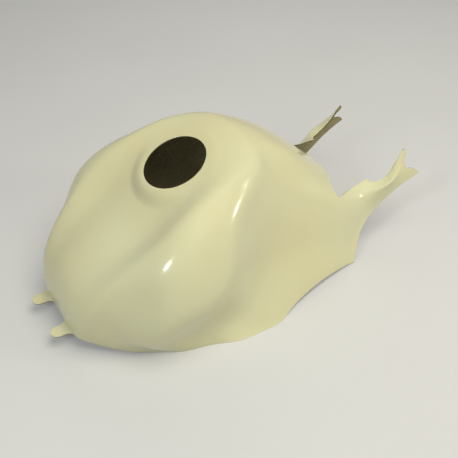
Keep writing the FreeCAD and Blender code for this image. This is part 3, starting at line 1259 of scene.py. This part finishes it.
def shown_strength(tree: bpy.types.NodeTree, lit: float, shown: float) -> Socket:
    """A strength for light that falls on other things, and another for what is seen or mirrored.

    Args:
        tree: node tree of the surroundings.
        lit: strength as a source of light.
        shown: strength as seen, mirrored or seen through glass.

    Returns:
        The strength's socket.
    """
    paths = tree.nodes.new("ShaderNodeLightPath")
    seen = paths.outputs["Is Camera Ray"]
    for kind in ("Is Glossy Ray", "Is Transmission Ray"):
        either = tree.nodes.new("ShaderNodeMath")
        either.operation = "MAXIMUM"
        tree.links.new(seen, either.inputs[0])
        tree.links.new(paths.outputs[kind], either.inputs[1])
        seen = either.outputs["Value"]
    strength = tree.nodes.new("ShaderNodeMapRange")
    strength.inputs["To Min"].default_value = lit
    strength.inputs["To Max"].default_value = shown
    tree.links.new(seen, strength.inputs["Value"])
    return strength.outputs["Result"]


@dataclass(frozen=True)
class PaleFloor:
    """Plain pale floor, a little paler to the eye than as a source of light."""

    colour: Point3 = (0.62, 0.62, 0.61)
    shade: float = 0.97
    drift: Grain = Grain(3.0)
    drift_span: Point2 = (0.3, 0.7)
    roughness: float = 0.8
    specular: float = 0.2
    glow: float = 0.14

    def material(self) -> bpy.types.Material:
        """The finish as a node material.

        Returns:
            The material.
        """
        nodes = Nodes("pale_floor")
        shaded = tuple(self.shade * channel for channel in self.colour)
        nodes.feed(nodes.ramp(nodes.noise(self.drift), self.drift_span, shaded, self.colour), "Base Color")
        nodes.fix("Roughness", self.roughness)
        nodes.fix("Specular IOR Level", self.specular)
        nodes.shader.inputs["Emission Color"].default_value = WHITE
        nodes.feed(shown_strength(nodes.tree, 0.0, self.glow), "Emission Strength")
        return nodes.material


@dataclass(frozen=True)
class Lamp:
    """A round soft lamp: its place and diameter in metres, its power in watts and its tint."""

    name: str
    place: Point3
    size: float
    power: float
    tint: Point3
    glints: bool = True

    def build(self, aim: Point3) -> bpy.types.Object:
        """Hang the lamp so that it faces a point.

        Args:
            aim: the point, in metres.

        Returns:
            The lamp's object.
        """
        light = bpy.data.lights.new(self.name, "AREA")
        light.shape = "DISK"
        light.size = self.size
        light.energy = self.power
        light.color = self.tint
        item = bpy.data.objects.new(self.name, light)
        item.location = self.place
        item.rotation_euler = (Vector(aim) - Vector(self.place)).to_track_quat("-Z", "Y").to_euler()
        item.visible_glossy = self.glints
        bpy.context.scene.collection.objects.link(item)
        return item


@dataclass
class Studio:
    """Floor, lamps, world and camera, in metres and degrees, with the lens in millimetres."""

    lamps: Tuple[Lamp, ...] = (
        Lamp("key", (0.62, -1.45, 1.30), 0.42, 8.0, (0.95, 1.0, 1.0)),
        Lamp("side", (1.25, 1.20, 0.95), 0.30, 5.5, (1.0, 0.93, 0.78)),
        Lamp("fill", (0.80, 0.30, 2.30), 1.8, 34.0, (1.0, 0.97, 0.85), False),
        Lamp("back", (-1.2, 1.0, 1.6), 1.4, 4.5, (1.0, 0.98, 0.92), False))
    aim: Point3 = (0.0, -0.03, 0.12)
    floor_size: float = 12.0
    camera_place: Point3 = (0.8288, -0.5153, 0.8865)
    azimuth: float = 57.8
    elevation: float = 40.3
    lens: float = 53.14
    sensor: float = 36.0
    world_strength: float = 0.14
    backdrop: float = 0.42

    def floor(self) -> bpy.types.Object:
        """The floor.

        Returns:
            The floor's object.
        """
        half = self.floor_size / 2
        corners = [(-half, -half, 0), (half, -half, 0), (half, half, 0), (-half, half, 0)]
        mesh = bpy.data.meshes.new("floor")
        mesh.from_pydata(corners, [], [(0, 1, 2, 3)])
        mesh.materials.append(PaleFloor().material())
        plane = bpy.data.objects.new("floor", mesh)
        bpy.context.scene.collection.objects.link(plane)
        return plane

    def world(self) -> None:
        """Even pale surroundings, which shine more weakly than they show."""
        world = bpy.data.worlds.new("studio")
        world.use_nodes = True
        tree = world.node_tree
        back = tree.nodes["Background"]
        back.inputs["Color"].default_value = WHITE
        tree.links.new(shown_strength(tree, self.world_strength, self.backdrop), back.inputs["Strength"])
        bpy.context.scene.world = world

    def camera(self) -> bpy.types.Object:
        """The camera at the photograph's place and angle.

        Returns:
            The camera's object.
        """
        lens = bpy.data.cameras.new("camera")
        lens.lens = self.lens
        lens.sensor_width = self.sensor
        turn, rise = math.radians(self.azimuth), math.radians(self.elevation)
        back = Vector((math.sin(turn) * math.cos(rise), -math.cos(turn) * math.cos(rise), math.sin(rise)))
        facing = back.to_track_quat("Z", "Y").to_matrix().to_4x4()
        item = bpy.data.objects.new("camera", lens)
        item.matrix_world = Matrix.Translation(self.camera_place) @ facing
        bpy.context.scene.collection.objects.link(item)
        bpy.context.scene.camera = item
        return item

    def build(self) -> None:
        """Set up the whole studio."""
        self.floor()
        for lamp in self.lamps:
            lamp.build(self.aim)
        self.world()
        self.camera()
        bpy.context.scene.view_settings.view_transform = "Standard"


def filler_seat() -> Tuple[FillerSeat, float]:
    """The filler hole's seat in the drawing's frame, and the drawing's shift along the part.

    Returns:
        The seat and the shift in millimetres.
    """
    mount = next(item for item in frame["record"]["mounts"] if item["name"] == "filler_hole")
    across, along, up = [value / MM for value in mount["pos_m"]]
    axis = unit(np.array(mount["axis"], float))
    return FillerSeat(np.array([across, 0.0, up]), axis, mount["dims"]["r_mm"]), along


def main() -> None:
    """Build the cover and the studio, and report each piece."""
    logging.basicConfig(level=logging.INFO, format="%(name)s: %(message)s")
    seat, shift = filler_seat()
    cover = TankCover(seat, shift)
    piece = cover.build()
    cover.dress(piece)
    LOG.info("%s: %d faces", piece.name, len(piece.data.polygons))
    Studio().build()


if __name__ == "__main__":
    main()
